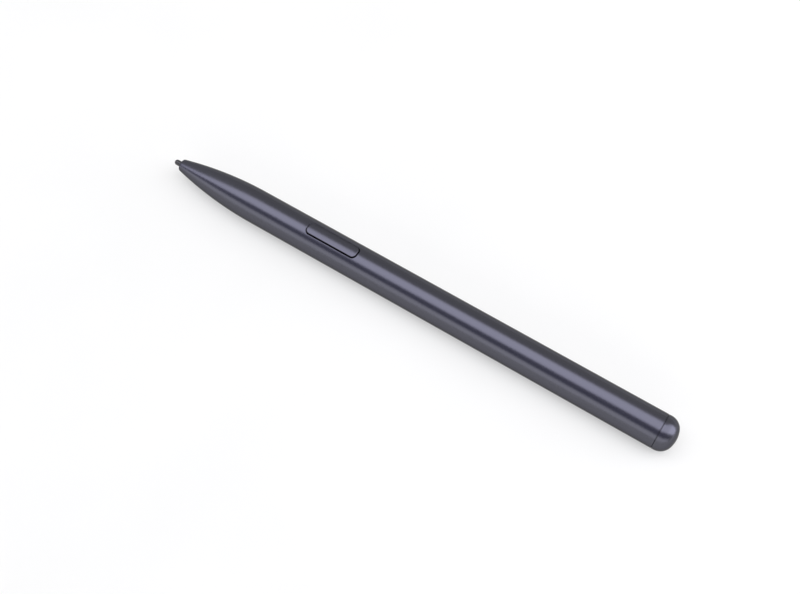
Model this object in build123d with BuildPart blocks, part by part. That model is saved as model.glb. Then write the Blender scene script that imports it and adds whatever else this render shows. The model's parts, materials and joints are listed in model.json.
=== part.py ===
from build123d import *

import os
from math import sqrt

# A battery-free stylus pen: a one-piece tapered barrel, a sprung nib on a pressure sensor,
# a side button over a push switch, and a glued end cap. Millimetres, +Z up.
# The pen lies along X, nib towards -X, button up, and rests on the flat along its underside.
# Stations are measured along the pen from the nib's tip, and heights from the pen's axis.

# Outside of the pen
overall_length = 143.0
barrel_diameter = 8.8
barrel_wall = 1.0
flat_depth = 0.35
nib_reach = 2.25
nose_length = 24.05
nose_front_diameter = 3.16
nose_edge_round = 0.35
cap_straight = 0.63
cap_corner_inset = 1.1
cap_dome_radius = 6.5
cap_spigot_length = 3.4

# Side button and the window that it stands in
button_length = 14.27
button_width = 3.0
button_corner = 1.0
button_gap = 0.2
button_rise = 0.22
button_setback = 3.1
button_travel = 0.3
tab_overhang = 0.6
tab_width = 2.2
tab_thickness = 0.4
press_room = 0.2

# Nib, ferrite core and coil
nib_diameter = 1.48
nib_shaft_diameter = 1.0
nib_guide_length = 6.0
nib_travel = 0.4
cushion_thickness = 0.8
ferrite_length = 16.0
ferrite_diameter = 2.4
coil_length = 11.0
coil_setback = 2.0
coil_build = 0.55
buffer_thickness = 1.5
buffer_margin = 0.7
lead_diameter = 0.2
lead_margin = 0.25

# Pressure sensor
case_front_wall = 1.2
case_wall = 0.9
case_step = 0.2
holder_setback = 0.2
holder_diameter = 2.2
holder_flange_thickness = 0.6
socket_depth = 5.2
stem_diameter = 1.7
stem_plug = 1.75
rubber_diameter = 2.0
rubber_height = 1.0
contact_room = 0.1
spring_wire_diameter = 0.3
spring_half_turns = 5
terminal_lap = 1.2
terminal_width = 0.6
disc_thickness = 0.5
rear_terminal_thickness = 1.2
tongue_width = 1.2
tongue_thickness = 0.25
tongue_lap = 2.5

# Inner frame, board, switch and magnets
frame_plug_length = 2.1
bulkhead_thickness = 1.0
bulkhead_rise = 0.8
board_thickness = 0.8
board_edge_gap = 0.5
board_margin = 2.0
chip_length = 1.0
chip_width = 1.6
chip_height = 0.7
chip_pitch = 2.4
chip_count = 5
chip_gap = 4.0
switch_length = 3.4
switch_width = 2.9
switch_floor = 0.15
switch_roof = 0.45
switch_flange_size = 2.0
switch_flange_thickness = 0.3
switch_stem_diameter = 1.3
dome_thickness = 0.08
dome_width = 1.4
magnet_length = 12.0
magnet_width = 2.6
magnet_height = 1.2
magnet_margin = 6.0
magnet_recess = 0.1
channel_width = 3.6
channel_web = 0.4
rib_pitch = 8.0
rib_thickness = 0.8
tail_cushion_thickness = 1.4

# Sides of the fine wires' section
wire_sides = 4

# Clearances, each on the radius or on one side
running_fit = 0.06
socket_fit = 0.02
slip_fit = 0.05
wound_fit = 0.02
loose_fit = 0.15

# Radii of the barrel and what lies in its bore
barrel_radius = barrel_diameter / 2
bore_radius = barrel_radius - barrel_wall
inner_radius = bore_radius - slip_fit
axis_height = barrel_radius - flat_depth
nib_radius = nib_diameter / 2
nib_hole_radius = nib_radius + running_fit
nib_shaft_radius = nib_shaft_diameter / 2
ferrite_radius = ferrite_diameter / 2
coil_inner_radius = ferrite_radius + wound_fit
coil_radius = coil_inner_radius + coil_build
nose_cavity_radius = coil_radius + loose_fit
holder_radius = holder_diameter / 2
stem_radius = stem_diameter / 2
rubber_radius = rubber_diameter / 2
contact_room_radius = inner_radius - case_wall
contact_radius = contact_room_radius - slip_fit
spring_room_radius = contact_room_radius - case_step
holder_flange_radius = spring_room_radius - running_fit

# Stations of the stack, from the nose backwards
nose_end = nib_reach + nose_length
cushion_seat = nib_reach + nib_guide_length
core_front = cushion_seat + cushion_thickness
core_rear = core_front + ferrite_length
coil_front = core_front + coil_setback
coil_rear = coil_front + coil_length
case_front = core_rear + buffer_thickness
flange_front = case_front + case_front_wall
flange_rear = flange_front + holder_flange_thickness
holder_front = case_front + holder_setback
nib_length = holder_front + socket_depth
stem_end = nib_length + stem_plug
terminal_front = stem_end - terminal_lap
rubber_end = stem_end + rubber_height
disc_front = rubber_end + nib_travel + contact_room
disc_rear = disc_front + disc_thickness
terminal_rear = disc_rear + rear_terminal_thickness
case_rear = terminal_rear + frame_plug_length
board_front = case_rear + bulkhead_thickness
lead_front = coil_rear - lead_diameter
cavity_rear = lead_front - loose_fit

# Stations of the button, of what stands on the board behind it, and of the tail
window_length = button_length + 2 * button_gap
window_width = button_width + 2 * button_gap
window_corner = button_corner + button_gap
button_station = case_rear + button_setback + window_length / 2
first_chip = button_station + switch_length / 2 + chip_gap
last_chip = first_chip + (chip_count - 1) * chip_pitch
board_rear = last_chip + board_margin
cap_corner_radius = barrel_radius - cap_corner_inset
cap_corner_reach = cap_dome_radius - sqrt((cap_dome_radius - cap_corner_radius) ** 2 - cap_corner_inset**2)
cap_corner_station = overall_length - cap_corner_reach
seam = cap_corner_station - cap_straight
spigot_front = seam - cap_spigot_length
frame_rear = spigot_front - tail_cushion_thickness
tail_front = board_rear + slip_fit
first_magnet = tail_front + magnet_margin + magnet_length / 2
last_magnet = frame_rear - magnet_margin - magnet_length / 2

# Heights, from the button's tabs down to the board and from the frame's underside up to the magnets
tab_radius = inner_radius - slip_fit
tab_reach = window_length + 2 * tab_overhang
button_floor = sqrt(tab_radius**2 - (tab_width / 2) ** 2) - tab_thickness
switch_top = button_floor - button_travel - press_room
switch_dome_room = button_travel + slip_fit
switch_room = switch_dome_room + switch_flange_thickness + slip_fit
board_top = switch_top - switch_roof - switch_room - switch_floor
board_seat = board_top - board_thickness
board_width = 2 * (sqrt(inner_radius**2 - max(abs(board_seat), abs(board_top)) ** 2) - board_edge_gap)
magnet_bottom = magnet_recess - sqrt(inner_radius**2 - (magnet_width / 2) ** 2)
magnet_top = magnet_bottom + magnet_height
channel_floor = magnet_top + channel_web
flat_height = -axis_height

# Planes and the axis that the pieces are built on
tip = Vector(-overall_length / 2, 0, axis_height)
pen_axis = Axis(tip, (1, 0, 0))
lengthwise = Plane(tip, x_dir=(1, 0, 0), z_dir=(0, -1, 0))


def across(station):
    """Plane square to the pen: X to the side, Y up, normal towards the tail."""
    return Plane(tip + Vector(station, 0, 0), x_dir=(0, 1, 0), z_dir=(1, 0, 0))


def level(height):
    """Horizontal plane: X is the station and Y is to the side."""
    return Plane(tip + Vector(0, 0, height), x_dir=(1, 0, 0), z_dir=(0, 0, 1))


def turn(*corners, mode=Mode.ADD):
    """Turns an outline of (station, radius) corners about the pen's axis, in the part being built."""
    with BuildSketch(lengthwise) as half:
        with BuildLine():
            Polyline(*corners, close=True)
        make_face()
    revolve(half.sketch, axis=pen_axis, mode=mode)


def rod(front, rear, radius, mode=Mode.ADD):
    """Plain cylinder on the pen's axis between two stations, in the part being built."""
    turn((front, 0), (front, radius), (rear, radius), (rear, 0), mode=mode)


def block(front, rear, width, low, high, side=0, mode=Mode.ADD):
    """Box between two stations and two heights, in the part being built."""
    with BuildSketch(level(low)) as plan:
        with Locations(((front + rear) / 2, side)):
            Rectangle(rear - front, width)
    extrude(plan.sketch, amount=high - low, mode=mode)


def upright(low, high, radius, mode=Mode.ADD):
    """Upright cylinder at the button's station between two heights, in the part being built."""
    with BuildSketch(level(low)) as disc:
        with Locations((button_station, 0)):
            Circle(radius)
    extrude(disc.sketch, amount=high - low, mode=mode)


def keep_below_round(radius):
    """Cuts the part being built back to a cylinder about the pen's axis."""
    with BuildSketch(across(0)) as disc:
        Circle(radius)
    extrude(disc.sketch, amount=overall_length, mode=Mode.INTERSECT)


def cut_flat():
    """Cuts the flat along the pen's underside from the part being built."""
    block(0, overall_length, 2 * barrel_diameter, flat_height - barrel_radius, flat_height, mode=Mode.SUBTRACT)


# Barrel: nose and tube in one moulding, with the nib's guide, the stepped bore and the button's window
with BuildPart() as barrel:
    with BuildSketch(lengthwise) as shell:
        nose_front = (nib_reach, nose_front_diameter / 2)
        with BuildLine():
            TangentArc((nose_end, barrel_radius), nose_front, tangent=(-1, 0))
            Polyline(
                nose_front,
                (nib_reach, nib_hole_radius),
                (cushion_seat, nib_hole_radius),
                (cushion_seat, nose_cavity_radius),
                (cavity_rear, nose_cavity_radius),
                (cavity_rear, bore_radius),
                (seam, bore_radius),
                (seam, barrel_radius),
                (nose_end, barrel_radius),
            )
        make_face()
        fillet(shell.vertices().sort_by_distance(nose_front)[0], nose_edge_round)
    revolve(axis=pen_axis)
    cut_flat()
    with BuildSketch(level(0)) as window:
        with Locations((button_station, 0)):
            RectangleRounded(window_length, window_width, window_corner)
    extrude(window.sketch, amount=barrel_diameter, mode=Mode.SUBTRACT)

# End cap: domed end with a spigot glued into the bore
with BuildPart() as end_cap:
    with BuildSketch(lengthwise):
        corner_share = cap_corner_inset / (cap_dome_radius - cap_corner_radius)
        dome_centre = overall_length - cap_dome_radius
        dome_edge = (
            dome_centre + cap_dome_radius * sqrt(1 - corner_share**2),
            cap_dome_radius * corner_share,
        )
        with BuildLine():
            Polyline(
                (overall_length, 0),
                (spigot_front, 0),
                (spigot_front, inner_radius),
                (seam, inner_radius),
                (seam, barrel_radius),
                (cap_corner_station, barrel_radius),
            )
            TangentArc((cap_corner_station, barrel_radius), dome_edge, tangent=(1, 0))
            RadiusArc(dome_edge, (overall_length, 0), cap_dome_radius)
        make_face()
    revolve(axis=pen_axis)
    cut_flat()

# Side button: rides in the window, a little above the barrel, held in by a tab under the wall at each end
with BuildPart() as button_tabs:
    tab_front = button_station - tab_reach / 2
    tab_rear = button_station + tab_reach / 2
    block(tab_front, tab_rear, tab_width, button_floor, barrel_radius)
    keep_below_round(tab_radius)

with BuildPart() as side_button:
    with BuildSketch(level(button_floor)) as button_outline:
        with Locations((button_station, 0)):
            RectangleRounded(button_length, button_width, button_corner)
    extrude(button_outline.sketch, amount=barrel_radius)
    keep_below_round(barrel_radius + button_rise)
    add(button_tabs.part)

# Nib: round-ended rod with a thinner shaft that runs back through the core into its holder
with BuildPart() as nib:
    with BuildSketch(lengthwise):
        with BuildLine():
            RadiusArc((0, 0), (nib_radius, nib_radius), nib_radius)
            Polyline(
                (nib_radius, nib_radius),
                (cushion_seat, nib_radius),
                (cushion_seat, nib_shaft_radius),
                (nib_length, nib_shaft_radius),
                (nib_length, 0),
                (0, 0),
            )
        make_face()
    revolve(axis=pen_axis)

# Front cushion: rubber ring between the nose and the ferrite core
with BuildPart() as front_cushion:
    turn(
        (cushion_seat, nib_hole_radius),
        (cushion_seat, nose_cavity_radius - slip_fit),
        (core_front, nose_cavity_radius - slip_fit),
        (core_front, nib_hole_radius),
    )

# Ferrite core: tube round the nib's shaft
shaft_hole_radius = nib_shaft_radius + running_fit
with BuildPart() as ferrite_core:
    rod(core_front, core_rear, ferrite_radius)
    rod(core_front, core_rear, shaft_hole_radius, mode=Mode.SUBTRACT)

# Coil winding: sleeve of fine wire on the core
with BuildPart() as coil_winding:
    rod(coil_front, coil_rear, coil_radius)
    rod(coil_front, coil_rear, coil_inner_radius, mode=Mode.SUBTRACT)

# Core buffer: elastic ring between the core's rear end and the sensor
with BuildPart() as core_buffer:
    rod(core_rear, case_front, ferrite_radius + buffer_margin)
    rod(core_rear, case_front, shaft_hole_radius, mode=Mode.SUBTRACT)

# Coil leads: two enamelled wires along the sides of the sensor to the board
lead_radius = lead_diameter / 2
lead_height = board_top + lead_radius + wound_fit
lead_side = sqrt((bore_radius - lead_margin) ** 2 - lead_height**2)
lead_start = coil_radius + lead_radius + wound_fit
lead_pad = board_width / 2 - 2 * lead_diameter
with BuildPart() as lead:
    with BuildLine(level(lead_height)) as lead_route:
        FilletPolyline(
            (lead_front, lead_start),
            (case_front - loose_fit, lead_side),
            (board_front, lead_side),
            (board_front + tongue_lap, lead_pad),
            (board_front + 2 * tongue_lap, lead_pad),
            radius=2 * lead_diameter,
        )
    with BuildSketch(Plane(lead_route.line @ 0, z_dir=lead_route.line % 0)):
        RegularPolygon(lead_radius, wire_sides)
    sweep(path=lead_route.line)

with BuildPart() as coil_leads:
    add(lead.part)
    mirror(about=Plane.XZ)

# Sensor case: stepped sleeve in the bore, grooved on both sides where the leads pass
with BuildPart() as sensor_case:
    turn(
        (case_front, holder_radius + running_fit),
        (case_front, inner_radius),
        (case_rear, inner_radius),
        (case_rear, contact_room_radius),
        (terminal_front, contact_room_radius),
        (terminal_front, spring_room_radius),
        (flange_front, spring_room_radius),
        (flange_front, holder_radius + running_fit),
    )
    groove_side = lead_side - lead_radius - loose_fit + bore_radius / 2
    for side in (groove_side, -groove_side):
        block(
            case_front,
            case_rear,
            bore_radius,
            lead_height - lead_diameter,
            lead_height + lead_diameter,
            side=side,
            mode=Mode.SUBTRACT,
        )

# Nib holder: plunger with a socket for the nib's shaft, a flange for the spring and a stem
with BuildPart() as nib_holder:
    turn(
        (holder_front, nib_shaft_radius + socket_fit),
        (holder_front, holder_radius),
        (flange_front, holder_radius),
        (flange_front, holder_flange_radius),
        (flange_rear, holder_flange_radius),
        (flange_rear, stem_radius),
        (stem_end, stem_radius),
        (stem_end, 0),
        (nib_length, 0),
        (nib_length, nib_shaft_radius + socket_fit),
    )

# Contact rubber: conductive plug on the end of the stem
with BuildPart() as contact_rubber:
    rod(stem_end, rubber_end, rubber_radius)

# Front terminal: metal ring that the spring stands on and the disc lies against
with BuildPart() as front_terminal:
    rod(terminal_front, disc_front, contact_radius)
    rod(terminal_front, disc_front, contact_radius - terminal_width, mode=Mode.SUBTRACT)

# Return spring: square wire in half turns between the holder's flange and the front terminal
spring_wire_radius = spring_wire_diameter / 2
spring_radius = spring_room_radius - spring_wire_radius - loose_fit
spring_start = flange_rear + spring_wire_radius + socket_fit
spring_rise = terminal_front - spring_wire_radius - socket_fit - spring_start
half_rise = spring_rise / spring_half_turns
with BuildPart() as return_spring:
    with BuildLine(across(0)) as spring_route:
        for half in range(spring_half_turns):
            side = spring_radius if half % 2 == 0 else -spring_radius
            start = spring_start + half * half_rise
            ThreePointArc(
                (side, 0, start),
                (0, side, start + half_rise / 2),
                (-side, 0, start + half_rise),
            )
    with BuildSketch(Plane(spring_route.line @ 0, x_dir=(1, 0, 0), z_dir=spring_route.line % 0)):
        RegularPolygon(spring_wire_radius, wire_sides)
    sweep(path=spring_route.line)

# Dielectric disc of the variable capacitor
with BuildPart() as dielectric_disc:
    rod(disc_front, disc_rear, contact_radius)

# Rear terminal: metal plug behind the disc with a tongue that lies on the board
with BuildPart() as rear_terminal:
    rod(disc_rear, terminal_rear, contact_radius)
    block(disc_rear, board_front + tongue_lap, tongue_width, board_top, board_top + tongue_thickness)

# Inner frame: plug for the sensor, bulkhead, bed for the board, and a ribbed channel to the tail
with BuildPart() as inner_frame:
    rod(case_rear, frame_rear, inner_radius)
    block(case_rear, board_front, barrel_diameter, board_top + bulkhead_rise, barrel_radius, mode=Mode.SUBTRACT)
    block(board_front, tail_front, barrel_diameter, board_seat, barrel_radius, mode=Mode.SUBTRACT)
    block(tail_front, frame_rear, barrel_diameter, 0, barrel_radius, mode=Mode.SUBTRACT)
    block(tail_front, frame_rear, channel_width, channel_floor, barrel_radius, mode=Mode.SUBTRACT)
    tail_length = frame_rear - tail_front
    rib_count = int(tail_length / rib_pitch)
    with BuildSketch(level(channel_floor)) as ribs:
        with Locations(((tail_front + frame_rear) / 2, 0)):
            with GridLocations(rib_pitch, 0, rib_count, 1):
                Rectangle(rib_thickness, channel_width)
    extrude(ribs.sketch, amount=-channel_floor / 2)
    rod(terminal_rear, case_rear, contact_radius)
    block(
        terminal_rear,
        board_front,
        tongue_width + 2 * loose_fit,
        board_top - loose_fit,
        board_top + tongue_thickness + loose_fit,
        mode=Mode.SUBTRACT,
    )
    lead_gap = bore_radius - lead_side + lead_radius + loose_fit
    for side in (bore_radius - lead_gap / 2, lead_gap / 2 - bore_radius):
        block(
            case_rear, board_front, lead_gap, lead_height - lead_diameter, barrel_radius,
            side=side, mode=Mode.SUBTRACT,
        )
    for magnet in (first_magnet, last_magnet):
        block(
            magnet - magnet_length / 2 - slip_fit,
            magnet + magnet_length / 2 + slip_fit,
            magnet_width + 2 * slip_fit,
            -barrel_radius,
            magnet_top,
            mode=Mode.SUBTRACT,
        )

# Circuit board
with BuildPart() as circuit_board:
    block(board_front, board_rear, board_width, board_seat, board_top)

# Tuning capacitors: a row of chips behind the switch
with BuildPart() as tuning_capacitors:
    for chip in range(chip_count):
        chip_station = first_chip + chip * chip_pitch
        block(
            chip_station - chip_length / 2, chip_station + chip_length / 2, chip_width,
            board_top, board_top + chip_height,
        )

# Side switch: housing with a chamber for its dome and a guide for its stem
chamber_floor = board_top + switch_floor
chamber_roof = chamber_floor + switch_room
flange_half = switch_flange_size / 2
switch_stem_radius = switch_stem_diameter / 2

with BuildPart() as side_switch:
    block(
        button_station - switch_length / 2,
        button_station + switch_length / 2,
        switch_width,
        board_top,
        switch_top,
    )
    block(
        button_station - flange_half - loose_fit,
        button_station + flange_half + loose_fit,
        switch_flange_size + 2 * loose_fit,
        chamber_floor,
        chamber_roof,
        mode=Mode.SUBTRACT,
    )
    upright(chamber_roof, switch_top, switch_stem_radius + running_fit, mode=Mode.SUBTRACT)

# Switch stem: flanged plunger between the dome and the button
stem_floor = chamber_floor + switch_dome_room
with BuildPart() as switch_stem:
    block(
        button_station - flange_half, button_station + flange_half, switch_flange_size,
        stem_floor, stem_floor + switch_flange_thickness,
    )
    upright(stem_floor, button_floor, switch_stem_radius)

# Switch dome: thin bowed strip that snaps under the stem
dome_plane = Plane(tip + Vector(button_station, 0, chamber_floor), x_dir=(1, 0, 0), z_dir=(0, -1, 0))
dome_rise = switch_dome_room - dome_thickness - socket_fit
with BuildPart() as switch_dome:
    with BuildSketch(dome_plane):
        with BuildLine():
            ThreePointArc((-flange_half, 0), (0, dome_rise), (flange_half, 0))
            Line((flange_half, 0), (flange_half, dome_thickness))
            ThreePointArc(
                (flange_half, dome_thickness),
                (0, dome_rise + dome_thickness),
                (-flange_half, dome_thickness),
            )
            Line((-flange_half, dome_thickness), (-flange_half, 0))
        make_face()
    extrude(amount=dome_width / 2, both=True)

# Holding magnets: bars in the frame's underside, over the flat
with BuildPart() as holding_magnets:
    for magnet in (first_magnet, last_magnet):
        block(
            magnet - magnet_length / 2, magnet + magnet_length / 2, magnet_width,
            magnet_bottom, magnet_top,
        )

# Tail cushion: square foam pad, as large as the bore takes, that holds the stack against the nose
pad_size = sqrt(2) * (inner_radius - loose_fit)
with BuildPart() as tail_cushion:
    block(frame_rear, spigot_front, pad_size, -pad_size / 2, pad_size / 2)

pieces = {
    "barrel": barrel,
    "end_cap": end_cap,
    "side_button": side_button,
    "nib": nib,
    "front_cushion": front_cushion,
    "ferrite_core": ferrite_core,
    "coil_winding": coil_winding,
    "core_buffer": core_buffer,
    "coil_leads": coil_leads,
    "sensor_case": sensor_case,
    "nib_holder": nib_holder,
    "contact_rubber": contact_rubber,
    "front_terminal": front_terminal,
    "return_spring": return_spring,
    "dielectric_disc": dielectric_disc,
    "rear_terminal": rear_terminal,
    "inner_frame": inner_frame,
    "circuit_board": circuit_board,
    "tuning_capacitors": tuning_capacitors,
    "side_switch": side_switch,
    "switch_stem": switch_stem,
    "switch_dome": switch_dome,
    "holding_magnets": holding_magnets,
    "tail_cushion": tail_cushion,
}
os.makedirs("parts", exist_ok=True)
for label, piece in pieces.items():
    piece.part.label = label
    export_step(piece.part, f"parts/{label}.step")
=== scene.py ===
import json
from math import asin, atan2, copysign, cos, pi, radians, sin, sqrt

import bmesh
import bpy
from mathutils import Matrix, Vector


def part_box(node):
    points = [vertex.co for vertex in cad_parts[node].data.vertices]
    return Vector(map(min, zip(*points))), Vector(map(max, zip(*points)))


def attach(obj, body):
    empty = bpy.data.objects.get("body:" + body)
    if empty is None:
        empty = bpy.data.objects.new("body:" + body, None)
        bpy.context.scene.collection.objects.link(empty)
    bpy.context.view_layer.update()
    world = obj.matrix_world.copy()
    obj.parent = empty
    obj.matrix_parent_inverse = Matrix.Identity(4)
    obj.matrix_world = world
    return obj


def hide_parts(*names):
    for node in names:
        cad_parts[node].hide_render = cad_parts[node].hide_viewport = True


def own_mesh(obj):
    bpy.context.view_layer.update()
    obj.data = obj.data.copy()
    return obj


# A stylus pen: barrel with a tapered nose, domed end cap, side button and nib as fine meshes, and inside it
# rubber and foam pieces, a coil spring and a snap strip. The other pieces inside are carried over from the
# frame. Metres, in the frame's own axes.

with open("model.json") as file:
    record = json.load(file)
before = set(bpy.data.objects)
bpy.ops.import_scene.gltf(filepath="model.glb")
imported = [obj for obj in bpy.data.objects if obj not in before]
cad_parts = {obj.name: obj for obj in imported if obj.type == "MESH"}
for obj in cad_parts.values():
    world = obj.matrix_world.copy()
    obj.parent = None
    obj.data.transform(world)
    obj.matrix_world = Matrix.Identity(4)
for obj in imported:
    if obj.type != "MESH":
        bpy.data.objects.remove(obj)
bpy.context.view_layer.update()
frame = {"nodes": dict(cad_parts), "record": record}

MM = 0.001

# Places and sizes read from the frame
barrel_low, barrel_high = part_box("barrel")
cap_low, cap_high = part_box("end_cap")
button_low, button_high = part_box("side_button")
nib_low, nib_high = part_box("nib")
cushion_low, cushion_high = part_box("front_cushion")
grip = next(mount for mount in frame["record"]["mounts"] if mount["name"] == "barrel_grip")
barrel_radius = grip["dims"]["r_mm"] * MM
axis_z = grip["pos_m"][2]
flat_z = barrel_low.z
nose_x = barrel_low.x
seam_x = barrel_high.x
seat_x = cushion_low.x
button_x = (button_low.x + button_high.x) / 2
button_width = button_high.y - button_low.y
button_top_radius = button_high.z - axis_z
nib_radius = (nib_high.y - nib_low.y) / 2

# Sizes of the outside that the frame's boxes don't give
nose_length = 24.05 * MM
nose_front_radius = 1.58 * MM
nose_edge_round = 0.35 * MM
guide_mouth = 0.08 * MM
flat_softness = 0.12 * MM
button_length = 14.27 * MM
button_corner = 1.0 * MM
button_gap = 0.28 * MM
button_round = 0.08 * MM
window_round = 0.06 * MM
seam_width = 0.12 * MM
seam_depth = 0.25 * MM
seam_round = 0.03 * MM
cap_corner_radius = 3.3 * MM
cap_dome_radius = 6.5 * MM

# Sizes of the inside
bore_radius = 3.4 * MM
spigot_radius = 3.35 * MM
spigot_lead_in = 0.3 * MM
nose_cavity_radius = 1.92 * MM
nose_cavity_length = 13.45 * MM
running_fit = 0.06 * MM
nib_hole_radius = nib_radius + running_fit
nib_shaft_radius = 0.5 * MM
nib_ease = 0.1 * MM
tab_width = 2.2 * MM
tab_radius = 3.3 * MM
rubber_round = 0.3 * MM
contact_round = 0.45 * MM
spring_wire_radius = 0.15 * MM
spring_turns = 2.5
dome_thickness = 0.08 * MM
dome_foot_width = 1.0 * MM
pad_squareness = 0.35

window_length = button_length + 2 * button_gap
window_width = button_width + 2 * button_gap
window_corner = button_corner + button_gap

# Fineness of the meshes
ROUND_STEPS = 180
NIB_STEPS = 64
RUBBER_STEPS = 72
NOSE_STEPS = 48
EDGE_STEPS = 6
DOME_STEPS = 28
TAB_STEPS = 12
SPRING_STEPS = 120
WIRE_STEPS = 12
PAD_STEPS = 24
PATCH_STEPS = 8
PATCH_SPREAD = 18
END_ARC_STEPS = 12
END_STRAIGHT_STEPS = 2 * PATCH_SPREAD - 2 * END_ARC_STEPS
SIDE_ARC_STEPS = 10
SIDE_STRAIGHT_STEPS = 24
PATCH_HALF_LENGTH = 9.0 * MM
SHARP_ANGLE = radians(38)
MERGE_DISTANCE = 0.0001 * MM

# Spread of the materials' patterns
SHADE_POSITIONS = (0.3, 0.7)
WAVES_PER_SCALE = 10
MOTTLE_SPREAD = 0.06
LINE_SPREAD = 0.08


class Finish:
    """A material whose colour, roughness and bump vary by textures in the object's own space."""

    def __init__(self, name, metallic=0.0, roughness=0.5):
        self.material = bpy.data.materials.new(name)
        self.material.use_nodes = True
        self.tree = self.material.node_tree
        self.shader = self.tree.nodes["Principled BSDF"]
        self.shader.inputs["Metallic"].default_value = metallic
        self.shader.inputs["Roughness"].default_value = roughness
        self.place = self.tree.nodes.new("ShaderNodeTexCoord").outputs["Object"]

    def stretched(self, x, y, z):
        """Coordinates drawn out along the axes whose factor is small."""
        mapping = self.tree.nodes.new("ShaderNodeMapping")
        mapping.inputs["Scale"].default_value = (x, y, z)
        self.tree.links.new(self.place, mapping.inputs["Vector"])
        return mapping.outputs["Vector"]

    def noise(self, size, detail=2.0, place=None):
        """Cloudy pattern whose features are about that size."""
        node = self.tree.nodes.new("ShaderNodeTexNoise")
        node.inputs["Scale"].default_value = 1 / size
        node.inputs["Detail"].default_value = detail
        self.tree.links.new(place or self.place, node.inputs["Vector"])
        return node.outputs["Fac"]

    def flakes(self, size):
        """Cells of random shade of about that size."""
        node = self.tree.nodes.new("ShaderNodeTexVoronoi")
        node.inputs["Scale"].default_value = 1 / size
        self.tree.links.new(self.place, node.inputs["Vector"])
        grey = self.tree.nodes.new("ShaderNodeSeparateColor")
        self.tree.links.new(node.outputs["Color"], grey.inputs["Color"])
        return grey.outputs["Red"]

    def bands(self, pitch, axis):
        """Even stripes across an axis."""
        node = self.tree.nodes.new("ShaderNodeTexWave")
        node.bands_direction = axis
        node.inputs["Scale"].default_value = pi / (WAVES_PER_SCALE * pitch)
        self.tree.links.new(self.place, node.inputs["Vector"])
        return node.outputs["Fac"]

    def spread(self, pattern, low, high):
        """A pattern from 0 to 1, drawn out between two values."""
        node = self.tree.nodes.new("ShaderNodeMapRange")
        node.inputs["To Min"].default_value = low
        node.inputs["To Max"].default_value = high
        self.tree.links.new(pattern, node.inputs["Value"])
        return node.outputs["Result"]

    def colour(self, pattern, low, high):
        ramp = self.tree.nodes.new("ShaderNodeValToRGB")
        shades = (low, high)
        for stop, shade, position in zip(ramp.color_ramp.elements, shades, SHADE_POSITIONS):
            stop.color = (*shade, 1.0)
            stop.position = position
        self.tree.links.new(pattern, ramp.inputs["Fac"])
        self.tree.links.new(ramp.outputs["Color"], self.shader.inputs["Base Color"])

    def roughness(self, pattern, low, high):
        self.tree.links.new(self.spread(pattern, low, high), self.shader.inputs["Roughness"])

    def bump(self, pattern, height, strength=1.0):
        node = self.tree.nodes.new("ShaderNodeBump")
        node.inputs["Strength"].default_value = strength
        node.inputs["Distance"].default_value = height
        self.tree.links.new(pattern, node.inputs["Height"])
        self.tree.links.new(node.outputs["Normal"], self.shader.inputs["Normal"])


def slate_finish():
    """Satin metallic coating, dark slate with a violet cast: fine flakes under a soft, even grain."""
    finish = Finish("slate_coating", metallic=1.0)
    finish.shader.inputs["Specular Tint"].default_value = (0.52, 0.52, 0.50, 1.0)
    finish.colour(finish.flakes(0.05 * MM), (0.0905, 0.0905, 0.108), (0.0955, 0.0955, 0.114))
    finish.roughness(finish.noise(0.4 * MM), 0.25, 0.27)
    finish.bump(finish.noise(0.07 * MM), 0.001 * MM, 0.15)
    return finish.material


def nib_finish():
    """Moulded dark grey resin, faintly streaked along its length."""
    finish = Finish("nib_resin")
    finish.shader.inputs["Specular IOR Level"].default_value = 0.65
    streaks = finish.noise(0.15 * MM, 3.0, finish.stretched(0.2, 1.0, 1.0))
    finish.colour(streaks, (0.014, 0.014, 0.014), (0.020, 0.020, 0.0195))
    finish.roughness(streaks, 0.16, 0.24)
    finish.bump(finish.noise(0.05 * MM), 0.002 * MM, 0.3)
    return finish.material


def mottled_finish(name, low, high, size, roughness):
    """Two close shades in a cloudy pattern, with matching grain."""
    finish = Finish(name)
    pattern = finish.noise(size, 4.0)
    finish.colour(pattern, low, high)
    finish.roughness(pattern, roughness - MOTTLE_SPREAD, roughness + MOTTLE_SPREAD)
    finish.bump(finish.noise(size / 4), 0.002 * MM, 0.5)
    return finish.material


def drawn_finish(name, low, high, roughness):
    """Metal with fine lines along the pen."""
    finish = Finish(name, metallic=1.0)
    lines = finish.noise(0.05 * MM, 3.0, finish.stretched(0.05, 1.0, 1.0))
    finish.colour(lines, low, high)
    finish.roughness(lines, roughness - LINE_SPREAD, roughness + LINE_SPREAD)
    finish.bump(lines, 0.001 * MM, 0.4)
    return finish.material


def wound_finish():
    """Enamelled copper wire, one turn beside the next, with painted shade in the grooves between the turns.
    """
    finish = Finish("enamelled_copper", metallic=0.9)
    turns_with_painted_shade = finish.bands(0.12 * MM, "X")
    # Painted shade: the wire's colour is darker in the grooves between turns and lighter on their crowns.
    finish.colour(turns_with_painted_shade, (0.25, 0.085, 0.03), (0.50, 0.20, 0.07))
    finish.roughness(finish.noise(0.3 * MM), 0.22, 0.36)
    finish.bump(turns_with_painted_shade, 0.03 * MM, 0.8)
    return finish.material


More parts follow.
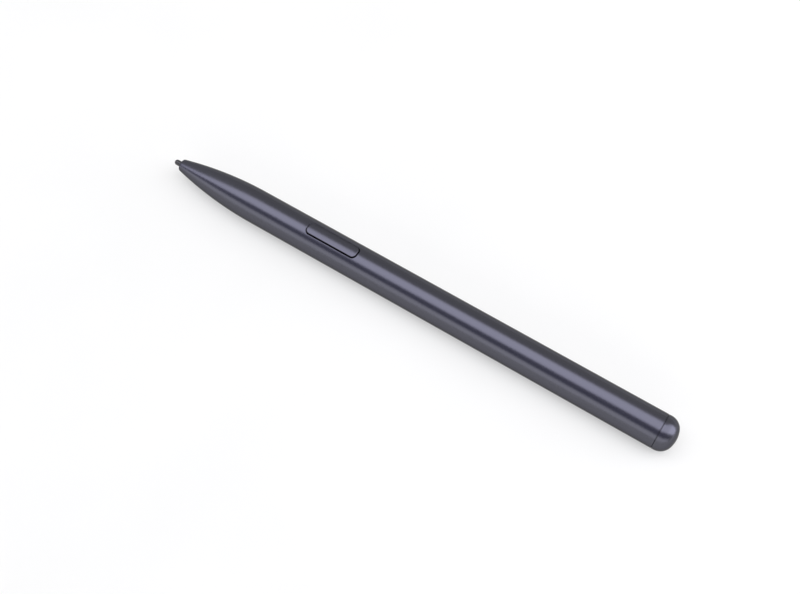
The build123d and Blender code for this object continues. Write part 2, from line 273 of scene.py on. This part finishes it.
materials = {
    "slate_shell": slate_finish(),
    "nib_plastic": nib_finish(),
    "black_rubber": mottled_finish(
        "soft_rubber", (0.012, 0.012, 0.012), (0.022, 0.022, 0.022), size=0.3 * MM, roughness=0.75
    ),
    "ferrite": mottled_finish(
        "sintered_ferrite", (0.030, 0.028, 0.028), (0.055, 0.052, 0.050), size=0.12 * MM, roughness=0.6
    ),
    "copper_wire": wound_finish(),
    "inner_plastic": mottled_finish(
        "moulded_black", (0.016, 0.016, 0.017), (0.026, 0.026, 0.027), size=0.5 * MM, roughness=0.5
    ),
    "contact_brass": drawn_finish(
        "plated_contact", (0.55, 0.40, 0.16), (0.72, 0.56, 0.28), roughness=0.28
    ),
    "spring_steel": drawn_finish("drawn_steel", (0.42, 0.42, 0.43), (0.60, 0.60, 0.61), roughness=0.25),
    "ceramic": mottled_finish(
        "fired_ceramic", (0.40, 0.30, 0.19), (0.52, 0.42, 0.28), size=0.25 * MM, roughness=0.35
    ),
    "board_laminate": mottled_finish(
        "solder_mask", (0.010, 0.060, 0.028), (0.016, 0.085, 0.040), size=0.8 * MM, roughness=0.4
    ),
    "magnet_plating": drawn_finish("nickel_plate", (0.52, 0.51, 0.49), (0.68, 0.67, 0.65), roughness=0.2),
}


class Skin:
    """The surface of one piece, put together from loops of points."""

    def __init__(self):
        self.mesh = bmesh.new()

    def loop(self, points):
        return [self.mesh.verts.new(point) for point in points]

    def bridge(self, first, second, steps=None):
        """Quads between two closed loops of as many points, or over some of their steps."""
        for step in steps or range(len(first)):
            after = (step + 1) % len(first)
            self.mesh.faces.new((first[step], first[after], second[after], second[step]))

    def chain(self, loops):
        for first, second in zip(loops, loops[1:]):
            self.bridge(first, second)

    def close(self, loop, point):
        """Triangles from a loop to one point."""
        middle = self.mesh.verts.new(point)
        for step in range(len(loop)):
            self.mesh.faces.new((loop[step], loop[(step + 1) % len(loop)], middle))

    def make(self, name):
        """Object of the finished surface, in the scene."""
        loose = [vert for vert in self.mesh.verts if not vert.link_faces]
        bmesh.ops.delete(self.mesh, geom=loose, context="VERTS")
        bmesh.ops.remove_doubles(self.mesh, verts=self.mesh.verts, dist=MERGE_DISTANCE)
        bmesh.ops.dissolve_degenerate(self.mesh, edges=self.mesh.edges, dist=MERGE_DISTANCE)
        bmesh.ops.recalc_face_normals(self.mesh, faces=self.mesh.faces)
        data = bpy.data.meshes.new(name)
        self.mesh.to_mesh(data)
        self.mesh.free()
        piece = bpy.data.objects.new(name, data)
        bpy.context.scene.collection.objects.link(piece)
        return piece


def dress(piece, body, slot, node):
    """Shades a piece smooth but for its sharp edges, and ties it to the frame in place of a CAD node."""
    piece.data.shade_smooth()
    piece.data.set_sharp_from_angle(angle=SHARP_ANGLE)
    piece.data.materials.clear()
    piece.data.materials.append(materials[slot])
    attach(piece, body)
    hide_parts(node)
    return piece


def above_flat(z):
    """Height of a point of the round, lifted to the flat underside with a softened edge."""
    depth = flat_z - z
    if depth <= -flat_softness:
        return z
    if depth >= flat_softness:
        return flat_z
    return max(z, flat_z) + (flat_softness - abs(depth)) ** 2 / (4 * flat_softness)


def ring(x, radius, steps=ROUND_STEPS):
    """Points round the pen's axis, from the top towards +Y."""
    angles = [2 * pi * step / steps for step in range(steps)]
    return [(x, radius * sin(angle), above_flat(axis_z + radius * cos(angle))) for angle in angles]


def lathe(skin, profile, steps=ROUND_STEPS):
    """Rings along a profile of (x, radius) points, joined."""
    loops = [skin.loop(ring(x, radius, steps)) for x, radius in profile]
    skin.chain(loops)
    return loops


def arc(centre_x, centre_radius, radius, start, end, steps):
    """Profile points on an arc between two angles, measured from +X towards the outside."""
    points = []
    for step in range(steps + 1):
        angle = start + (end - start) * step / steps
        points.append((centre_x + radius * cos(angle), centre_radius + radius * sin(angle)))
    return points


def between(first, second, share):
    """The point at a share of the way from one point to another."""
    return tuple(start + (end - start) * share for start, end in zip(first, second))


def outline(length, width, corner, grow=0.0):
    """Plan of a rounded rectangle, (along, across) from its centre, grown by an offset.
    It starts in the middle of the front corner on the -Y side and goes round by the front end."""
    half_long = length / 2 - corner
    half_wide = width / 2 - corner
    corners = [
        (-half_long, -half_wide),
        (-half_long, half_wide),
        (half_long, half_wide),
        (half_long, -half_wide),
    ]
    reach = corner + grow
    points = []
    for side in range(4):
        facing = pi - side * pi / 2
        at_end = side % 2 == 0
        arc_steps = END_ARC_STEPS if at_end else SIDE_ARC_STEPS
        straight_steps = END_STRAIGHT_STEPS if at_end else SIDE_STRAIGHT_STEPS
        first = corners[side]
        second = corners[(side + 1) % 4]
        stops = [(first, facing + pi / 4 * (1 - step / arc_steps)) for step in range(arc_steps)]
        for step in range(straight_steps):
            stops.append((between(first, second, step / straight_steps), facing))
        stops += [(second, facing - pi / 4 * step / arc_steps) for step in range(arc_steps)]
        points += [(place[0] + reach * cos(turn), place[1] + reach * sin(turn)) for place, turn in stops]
    return points


def window_plan(grow=0.0):
    return outline(window_length, window_width, window_corner, grow)


def button_plan(grow=0.0):
    return outline(button_length, button_width, button_corner, grow)


def on_round(radius, plan, drop=0.0):
    """Points of a plan about the button's centre, set on a cylinder about the pen's axis."""
    points = []
    for along, across in plan:
        points.append((button_x + along, across, axis_z + sqrt(radius**2 - across**2) - drop))
    return points


def rounded_edge(skin, plan, radius, edge, inward):
    """Loops of the small round between the top of the barrel or button and its upright wall.
    Inward is 1 where the wall faces into the plan, and -1 where it faces out of it."""
    loops = []
    for step in range(EDGE_STEPS + 1):
        turn = pi / 2 * step / EDGE_STEPS
        level_plan = plan(inward * edge * (1 - sin(turn)))
        loops.append(skin.loop(on_round(radius, level_plan, edge * (1 - cos(turn)))))
    skin.chain(loops)
    return loops


def window_stations():
    """Places along the pen of the rings that the window's patch joins."""
    plan = window_plan()
    side_start = 2 * PATCH_SPREAD
    side_steps = 2 * SIDE_ARC_STEPS + SIDE_STRAIGHT_STEPS
    along = [plan[side_start + step][0] for step in range(side_steps + 1)]
    return [button_x + PATCH_HALF_LENGTH * place / along[-1] for place in along]


def pierced_sleeve(skin, before, after, radius, grow):
    """A sleeve of rings with an opening for the window on top, and the patch that leads to its edge.
    Before and after are the profiles in front of and behind the window. Returns the first and last rings
    and the loop at the window's edge, grown by an offset."""
    stations = [(x, radius) for x in window_stations()]
    rings = [skin.loop(ring(x, reach)) for x, reach in before + stations + after]
    front = len(before)
    rear = front + len(stations) - 1
    beside_patch = range(PATCH_SPREAD, ROUND_STEPS - PATCH_SPREAD)
    for place, (first, second) in enumerate(zip(rings, rings[1:])):
        skin.bridge(first, second, beside_patch if front <= place < rear else None)
    border = [rings[front][step] for step in range(-PATCH_SPREAD, PATCH_SPREAD)]
    border += [rings[place][PATCH_SPREAD] for place in range(front, rear)]
    border += [rings[rear][step] for step in range(PATCH_SPREAD, -PATCH_SPREAD, -1)]
    border += [rings[place][-PATCH_SPREAD] for place in range(rear, front, -1)]
    edge = window_plan(grow)
    loops = [border]
    for step in range(1, PATCH_STEPS + 1):
        share = step / PATCH_STEPS
        points = []
        for vert, (along, across) in zip(border, edge):
            x = vert.co.x + (button_x + along - vert.co.x) * share
            border_turn = asin(vert.co.y / radius)
            turn = border_turn + (asin(across / radius) - border_turn) * share
            points.append((x, radius * sin(turn), axis_z + radius * cos(turn)))
        loops.append(skin.loop(points))
    skin.chain(loops)
    return rings[0], rings[-1], loops[-1]


def nose_profile():
    """The nose from its rounded front edge: one long arc that runs into the tube without a break."""
    drop = barrel_radius - nose_front_radius
    sweep_radius = (nose_length**2 + drop**2) / (2 * drop)
    sweep_x = nose_x + nose_length
    sweep_depth = barrel_radius - sweep_radius
    edge_x = nose_x + nose_edge_round
    edge_depth = sweep_depth + sqrt((sweep_radius - nose_edge_round) ** 2 - (sweep_x - edge_x) ** 2)
    lean = atan2(edge_depth - sweep_depth, edge_x - sweep_x)
    front_edge = arc(edge_x, edge_depth, nose_edge_round, pi, lean, EDGE_STEPS)
    sweep = arc(sweep_x, sweep_depth, sweep_radius, lean, pi / 2, NOSE_STEPS)
    return front_edge + sweep[1:]


def build_barrel():
    """Nose and tube in one shell, with the button's window, the nib's guide and the stepped bore."""
    skin = Skin()
    edge_x = seam_x - seam_width / 2
    tail_edge = arc(edge_x - seam_round, barrel_radius - seam_round, seam_round, pi / 2, 0, EDGE_STEPS)
    tail_edge.append((seam_x, barrel_radius - seam_depth))
    outside = pierced_sleeve(skin, nose_profile(), tail_edge, barrel_radius, window_round)
    front_ring, rear_ring, window_edge = outside
    edge = rounded_edge(skin, window_plan, barrel_radius, window_round, 1)
    skin.bridge(window_edge, edge[0])
    cavity_x = seat_x + nose_cavity_length
    bore_front = [(cavity_x, nose_cavity_radius), (cavity_x, bore_radius)]
    bore_rear = [(seam_x, bore_radius)]
    cavity_ring, bore_ring, bore_edge = pierced_sleeve(skin, bore_front, bore_rear, bore_radius, 0.0)
    skin.bridge(edge[-1], bore_edge)
    skin.bridge(rear_ring, bore_ring)
    guide_profile = [
        (nose_x, nib_hole_radius + guide_mouth),
        (nose_x + guide_mouth, nib_hole_radius),
        (seat_x, nib_hole_radius),
        (seat_x, nose_cavity_radius),
    ]
    guide = lathe(skin, guide_profile)
    skin.bridge(front_ring, guide[0])
    skin.bridge(guide[-1], cavity_ring)
    return dress(skin.make("barrel_shell"), "pen", "slate_shell", "barrel")


def build_end_cap():
    """Domed cap on a spigot: a short straight, a round corner and a flatter dome, behind the seam."""
    skin = Skin()
    inset = barrel_radius - cap_corner_radius
    dome_x = cap_high.x - cap_dome_radius
    lean = asin(inset / (cap_dome_radius - cap_corner_radius))
    corner_x = dome_x + (cap_dome_radius - cap_corner_radius) * cos(lean)
    front_x = seam_x + seam_width / 2
    profile = [
        (cap_low.x, spigot_radius - spigot_lead_in),
        (cap_low.x + spigot_lead_in, spigot_radius),
        (seam_x, spigot_radius),
        (seam_x, barrel_radius - seam_depth),
    ]
    profile += arc(front_x + seam_round, barrel_radius - seam_round, seam_round, pi, pi / 2, EDGE_STEPS)
    profile += arc(corner_x, inset, cap_corner_radius, pi / 2, lean, DOME_STEPS)
    profile += arc(dome_x, 0.0, cap_dome_radius, lean, 0.0, DOME_STEPS)[1:-1]
    loops = lathe(skin, profile)
    skin.close(loops[0], (cap_low.x, 0.0, axis_z))
    skin.close(loops[-1], (cap_high.x, 0.0, axis_z))
    return dress(skin.make("end_cap_shell"), "pen", "slate_shell", "end_cap")


def spine(plan):
    """The button's plan drawn in to the line along its middle."""
    limit = (button_length - button_width) / 2
    return [(max(-limit, min(limit, along)), 0.0) for along, _ in plan]


def build_key():
    """The button's key: a top that follows the barrel, softened round its edge, and a plain underside."""
    skin = Skin()
    top = button_plan(-button_round)
    middle = spine(top)
    loops = []
    for step in range(PATCH_STEPS + 1):
        share = step / PATCH_STEPS
        plan = [between(inner, outer, share) for inner, outer in zip(middle, top)]
        loops.append(skin.loop(on_round(button_top_radius, plan)))
    skin.chain(loops)
    edge = rounded_edge(skin, button_plan, button_top_radius, button_round, -1)
    skin.bridge(loops[-1], edge[0])
    base = button_plan()
    base_loop = skin.loop([(button_x + along, across, button_low.z) for along, across in base])
    base_middle = skin.loop([(button_x + along, across, button_low.z) for along, across in spine(base)])
    skin.chain([edge[-1], base_loop, base_middle])
    return skin.make("side_button_key")


def build_tab_bar():
    """Bar under the key whose ends are the tabs behind the barrel's wall."""
    skin = Skin()
    section = []
    for step in range(TAB_STEPS + 1):
        across = tab_width * (step / TAB_STEPS - 0.5)
        section.append((across, axis_z + sqrt(tab_radius**2 - across**2)))
    section += [(tab_width / 2, button_low.z), (-tab_width / 2, button_low.z)]
    front = skin.loop([(button_low.x, across, z) for across, z in section])
    rear = skin.loop([(button_high.x, across, z) for across, z in section])
    skin.bridge(front, rear)
    skin.mesh.faces.new(front)
    skin.mesh.faces.new(rear)
    return skin.make("tab_bar")


def build_button():
    """Side button: the key and its tab bar in one."""
    key = build_key()
    bar = build_tab_bar()
    union = key.modifiers.new("tabs", "BOOLEAN")
    union.operation = "UNION"
    union.solver = "EXACT"
    union.object = bar
    bpy.context.view_layer.update()
    joined = bpy.data.meshes.new_from_object(key.evaluated_get(bpy.context.evaluated_depsgraph_get()))
    key.modifiers.clear()
    key.data = joined
    bpy.data.objects.remove(bar)
    return dress(key, "side_button", "slate_shell", "side_button")


def build_nib():
    """Nib: round-ended rod, stepped down to the shaft that its holder grips."""
    skin = Skin()
    profile = arc(nib_low.x + nib_radius, 0.0, nib_radius, pi, pi / 2, DOME_STEPS)[1:]
    profile += [
        (seat_x - nib_ease, nib_radius),
        (seat_x, nib_radius - nib_ease),
        (seat_x, nib_shaft_radius),
        (nib_high.x - nib_ease, nib_shaft_radius),
        (nib_high.x, nib_shaft_radius - nib_ease),
    ]
    loops = lathe(skin, profile, NIB_STEPS)
    skin.close(loops[0], (nib_low.x, 0.0, axis_z))
    skin.close(loops[-1], (nib_high.x, 0.0, axis_z))
    return dress(skin.make("nib_rod"), "nib", "nib_plastic", "nib")


def build_rubber_ring(name, node, inner):
    """Rubber ring with full, rounded edges in the space of a CAD node."""
    skin = Skin()
    low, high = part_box(node)
    outer = (high.y - low.y) / 2
    front_x = low.x + rubber_round
    rear_x = high.x - rubber_round
    profile = arc(front_x, outer - rubber_round, rubber_round, pi, pi / 2, EDGE_STEPS)
    profile += arc(rear_x, outer - rubber_round, rubber_round, pi / 2, 0, EDGE_STEPS)
    profile += arc(rear_x, inner + rubber_round, rubber_round, 0, -pi / 2, EDGE_STEPS)
    profile += arc(front_x, inner + rubber_round, rubber_round, -pi / 2, -pi, EDGE_STEPS)
    loops = lathe(skin, profile, RUBBER_STEPS)
    skin.bridge(loops[-1], loops[0])
    return dress(skin.make(name), "pen", "black_rubber", node)


def build_contact_plug():
    """Conductive rubber plug with a domed face towards the ceramic disc."""
    skin = Skin()
    low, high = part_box("contact_rubber")
    outer = (high.y - low.y) / 2
    profile = arc(low.x + nib_ease, outer - nib_ease, nib_ease, pi, pi / 2, EDGE_STEPS)
    profile += arc(high.x - contact_round, outer - contact_round, contact_round, pi / 2, 0, DOME_STEPS)
    loops = lathe(skin, profile, RUBBER_STEPS)
    skin.close(loops[0], (low.x, 0.0, axis_z))
    skin.close(loops[-1], (high.x, 0.0, axis_z))
    return dress(skin.make("contact_plug"), "nib_carrier", "black_rubber", "contact_rubber")


def swell(value):
    """Sine or cosine filled out towards a square."""
    return copysign(abs(value) ** pad_squareness, value)


def build_foam_pad():
    """Square foam pad at the tail, crowned on both faces, with soft edges."""
    skin = Skin()
    low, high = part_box("tail_cushion")
    middle = (low + high) / 2
    half = (high - low) / 2
    loops = []
    for step in range(1, PAD_STEPS):
        turn = pi * step / PAD_STEPS
        x = middle.x - half.x * swell(cos(turn))
        share = swell(sin(turn))
        points = []
        for side in range(4 * PAD_STEPS):
            angle = pi * side / (2 * PAD_STEPS)
            y = middle.y + half.y * share * swell(cos(angle))
            points.append((x, y, middle.z + half.z * share * swell(sin(angle))))
        loops.append(skin.loop(points))
    skin.chain(loops)
    skin.close(loops[0], (low.x, middle.y, middle.z))
    skin.close(loops[-1], (high.x, middle.y, middle.z))
    pad = dress(skin.make("tail_foam"), "pen", "black_rubber", "tail_cushion")
    return pad


def build_return_spring():
    """Coil spring of round wire; the real one shortens as the nib goes in, but this mesh keeps one length.
    """
    skin = Skin()
    low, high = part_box("return_spring")
    coil_radius = (high.y - low.y) / 2 - spring_wire_radius
    rise = high.x - low.x - 2 * spring_wire_radius
    loops = []
    for step in range(SPRING_STEPS + 1):
        share = step / SPRING_STEPS
        angle = 2 * pi * spring_turns * share
        x = low.x + spring_wire_radius + rise * share
        points = []
        for side in range(WIRE_STEPS):
            turn = 2 * pi * side / WIRE_STEPS
            reach = coil_radius + spring_wire_radius * cos(turn)
            wire_x = x + spring_wire_radius * sin(turn)
            points.append((wire_x, reach * cos(angle), axis_z + reach * sin(angle)))
        loops.append(skin.loop(points))
    skin.chain(loops)
    end_angle = 2 * pi * spring_turns
    end_y = coil_radius * cos(end_angle)
    end_z = axis_z + coil_radius * sin(end_angle)
    skin.close(loops[0], (low.x + spring_wire_radius, coil_radius, axis_z))
    skin.close(loops[-1], (high.x - spring_wire_radius, end_y, end_z))
    spring = dress(skin.make("return_coil"), "pen", "spring_steel", "return_spring")
    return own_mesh(spring)


def build_snap_strip():
    """Thin bowed strip in the switch, wider in its middle; the real one flattens as the button goes in, but
    this mesh keeps its bow.
    """
    skin = Skin()
    low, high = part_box("switch_dome")
    half_length = (high.x - low.x) / 2
    height = high.z - low.z
    rise = height - dome_thickness
    bow_radius = (half_length**2 + rise**2) / (2 * rise)
    middle_width = high.y - low.y
    loops = []
    for step in range(DOME_STEPS + 1):
        along = half_length * (2 * step / DOME_STEPS - 1)
        bow = sqrt(bow_radius**2 - along**2) - (bow_radius - rise)
        half_width = (dome_foot_width + (middle_width - dome_foot_width) * bow / rise) / 2
        under = low.z + bow
        upper = under + dome_thickness
        x = button_x + along
        corners = [
            (x, -half_width, under),
            (x, half_width, under),
            (x, half_width, upper),
            (x, -half_width, upper),
        ]
        loops.append(skin.loop(corners))
    skin.chain(loops)
    skin.mesh.faces.new(loops[0])
    skin.mesh.faces.new(loops[-1])
    strip = dress(skin.make("snap_strip"), "pen", "spring_steel", "switch_dome")
    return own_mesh(strip)


build_barrel()
build_end_cap()
build_button()
build_nib()
build_rubber_ring("nose_cushion_ring", "front_cushion", nib_hole_radius)
build_rubber_ring("core_buffer_ring", "core_buffer", nib_shaft_radius + running_fit)
build_contact_plug()
build_foam_pad()
build_return_spring()
build_snap_strip()

for subpart in frame["record"]["subparts"]:
    node = frame["nodes"][subpart["node"]]
    node.data.materials.clear()
    node.data.materials.append(materials[subpart["material_slot"]])


def stand(name, points, material):
    """A flat piece of the studio, by its corners in order."""
    data = bpy.data.meshes.new(name)
    data.from_pydata(points, [], [tuple(range(len(points)))])
    data.materials.append(material)
    piece = bpy.data.objects.new(name, data)
    bpy.context.scene.collection.objects.link(piece)


# Floor: a white sheet, which stays pale to the camera and in what mirrors it, and keeps the shadow
floor_half = 15.0
floor_lift = 0.43
far_lift = 0.72
lift_start = 0.3
lift_end = 1.5


def floor_finish():
    finish = Finish("white_sheet", roughness=0.9)
    finish.colour(finish.noise(50 * MM), (0.38, 0.38, 0.342), (0.396, 0.396, 0.3564))
    rays = finish.tree.nodes.new("ShaderNodeLightPath")
    distance = finish.tree.nodes.new("ShaderNodeVectorMath")
    distance.operation = "LENGTH"
    finish.tree.links.new(finish.place, distance.inputs[0])
    lift = finish.tree.nodes.new("ShaderNodeMapRange")
    lift.inputs["From Min"].default_value = lift_start
    lift.inputs["From Max"].default_value = lift_end
    lift.inputs["To Min"].default_value = floor_lift
    lift.inputs["To Max"].default_value = far_lift
    finish.tree.links.new(distance.outputs["Value"], lift.inputs["Value"])
    seen = rays.outputs["Is Camera Ray"]
    for kind in ("Is Glossy Ray", "Is Transmission Ray"):
        either = finish.tree.nodes.new("ShaderNodeMath")
        either.operation = "MAXIMUM"
        finish.tree.links.new(seen, either.inputs[0])
        finish.tree.links.new(rays.outputs[kind], either.inputs[1])
        seen = either.outputs["Value"]
    shown_lift = finish.tree.nodes.new("ShaderNodeMath")
    shown_lift.operation = "MULTIPLY"
    finish.tree.links.new(seen, shown_lift.inputs[0])
    finish.tree.links.new(lift.outputs["Result"], shown_lift.inputs[1])
    finish.shader.inputs["Emission Color"].default_value = (1.0, 1.0, 1.0, 1.0)
    finish.tree.links.new(shown_lift.outputs["Value"], finish.shader.inputs["Emission Strength"])
    return finish.material


floor_points = [
    (-floor_half, -floor_half, flat_z),
    (floor_half, -floor_half, flat_z),
    (floor_half, floor_half, flat_z),
    (-floor_half, floor_half, flat_z),
]
stand("floor", floor_points, floor_finish())

# Light of the panels, a little cooler than the room's
cool = (0.955, 0.955, 1.075)
neutral = (0.98, 0.98, 1.02)


def glow(name, colour, radiance):
    """Material of an evenly lit panel."""
    material = bpy.data.materials.new(name)
    material.use_nodes = True
    tree = material.node_tree
    tree.nodes.clear()
    emission = tree.nodes.new("ShaderNodeEmission")
    emission.inputs["Color"].default_value = (*colour, 1.0)
    emission.inputs["Strength"].default_value = radiance
    output = tree.nodes.new("ShaderNodeOutputMaterial")
    tree.links.new(emission.outputs["Emission"], output.inputs["Surface"])
    return material


# Overhead softbox, by the (x, y) corners of its front and back edges, and the wing that leads from its
# right end down to the horizon, for the highlight on the end cap
softbox_height = 1.0
softbox_front = [(-1.95, -1.0), (-1.2, -0.62), (0.87, -0.28)]
softbox_back = [(0.87, 1.24), (0.05, 0.5), (-0.49, 0.31), (-0.87, 0.06), (-1.95, -0.5)]
softbox_radiance = 2.6
softbox_points = [(x, y, softbox_height) for x, y in softbox_front + softbox_back]
wing_distance = 2.2
wing_foot = 0.02
wing_radiance = 3.4
wing_turns = (radians(35), radians(12))
wing_top = [(x, y, softbox_height) for x, y in (softbox_front[-1], softbox_back[0])]
wing_base = [(wing_distance * cos(turn), wing_distance * sin(turn), wing_foot) for turn in wing_turns]
stand("softbox", softbox_points, glow("softbox_glow", cool, softbox_radiance))
stand("softbox_wing", wing_top + wing_base, glow("wing_glow", cool, wing_radiance))

# Long upright panel on the camera's side
wall_y = -1.6
wall_left, wall_right = -3.0, 4.0
wall_low, wall_high = 0.12, 1.03
wall_radiance = 1.67
wall_points = [
    (wall_left, wall_y, wall_low),
    (wall_right, wall_y, wall_low),
    (wall_right, wall_y, wall_high),
    (wall_left, wall_y, wall_high),
]
stand("front_panel", wall_points, glow("front_glow", neutral, wall_radiance))

# Dim room, darker and bluer on the camera's side, lighter beyond the nib, and pale along the horizon
horizon_shade = (0.86, 0.86, 0.84)
horizon_height = 0.25
nib_side_gain = (1.2, 1.2, 1.2)
nib_side_start, nib_side_end = -0.40, -0.62
room_shades = [
    (0.0, (0.29, 0.29, 0.43)),
    (0.35, (0.31, 0.31, 0.41)),
    (0.6, (0.56, 0.56, 0.58)),
    (0.9, (0.57, 0.57, 0.58)),
    (1.0, (0.70, 0.70, 0.67)),
]
world = bpy.data.worlds.new("studio")
world.use_nodes = True
bpy.context.scene.world = world
room = world.node_tree
split = room.nodes.new("ShaderNodeSeparateXYZ")
room.links.new(room.nodes.new("ShaderNodeTexCoord").outputs["Generated"], split.inputs["Vector"])
depth = room.nodes.new("ShaderNodeMapRange")
depth.inputs["From Min"].default_value = -1.0
room.links.new(split.outputs["Y"], depth.inputs["Value"])
shade = room.nodes.new("ShaderNodeValToRGB")
ramp = shade.color_ramp.elements
while len(ramp) < len(room_shades):
    ramp.new(1.0)
for stop, (position, colour) in zip(ramp, room_shades):
    stop.position = position
    stop.color = (*colour, 1.0)
room.links.new(depth.outputs["Result"], shade.inputs["Fac"])


def fade(rest, blend, colour, axis, none, full):
    """Blends a colour into the room, from none of it to all of it between two places on an axis."""
    share = room.nodes.new("ShaderNodeMapRange")
    share.inputs["From Min"].default_value = none
    share.inputs["From Max"].default_value = full
    room.links.new(split.outputs[axis], share.inputs["Value"])
    mix = room.nodes.new("ShaderNodeMix")
    mix.data_type = "RGBA"
    mix.blend_type = blend
    factor, base, tint = mix.inputs[0], mix.inputs[6], mix.inputs[7]
    tint.default_value = (*colour, 1.0)
    room.links.new(share.outputs["Result"], factor)
    room.links.new(rest, base)
    return mix.outputs[2]


sides = fade(shade.outputs["Color"], "MULTIPLY", nib_side_gain, "X", nib_side_start, nib_side_end)
room_colour = fade(sides, "MIX", horizon_shade, "Z", horizon_height, 0.0)
room.links.new(room_colour, room.nodes["Background"].inputs["Color"])

# Camera at the photograph's viewing angle
camera_data = bpy.data.cameras.new("camera")
camera_data.lens = 50.0
camera_data.sensor_width = 36.0
camera_data.clip_start = 0.01
camera = bpy.data.objects.new("camera", camera_data)
camera.location = (0.06781, -0.11047, 0.24013)
camera.rotation_euler = (radians(28.47), 0.0, radians(32.50))
bpy.context.scene.collection.objects.link(camera)
bpy.context.scene.camera = camera

bpy.context.scene.view_settings.view_transform = "Standard"
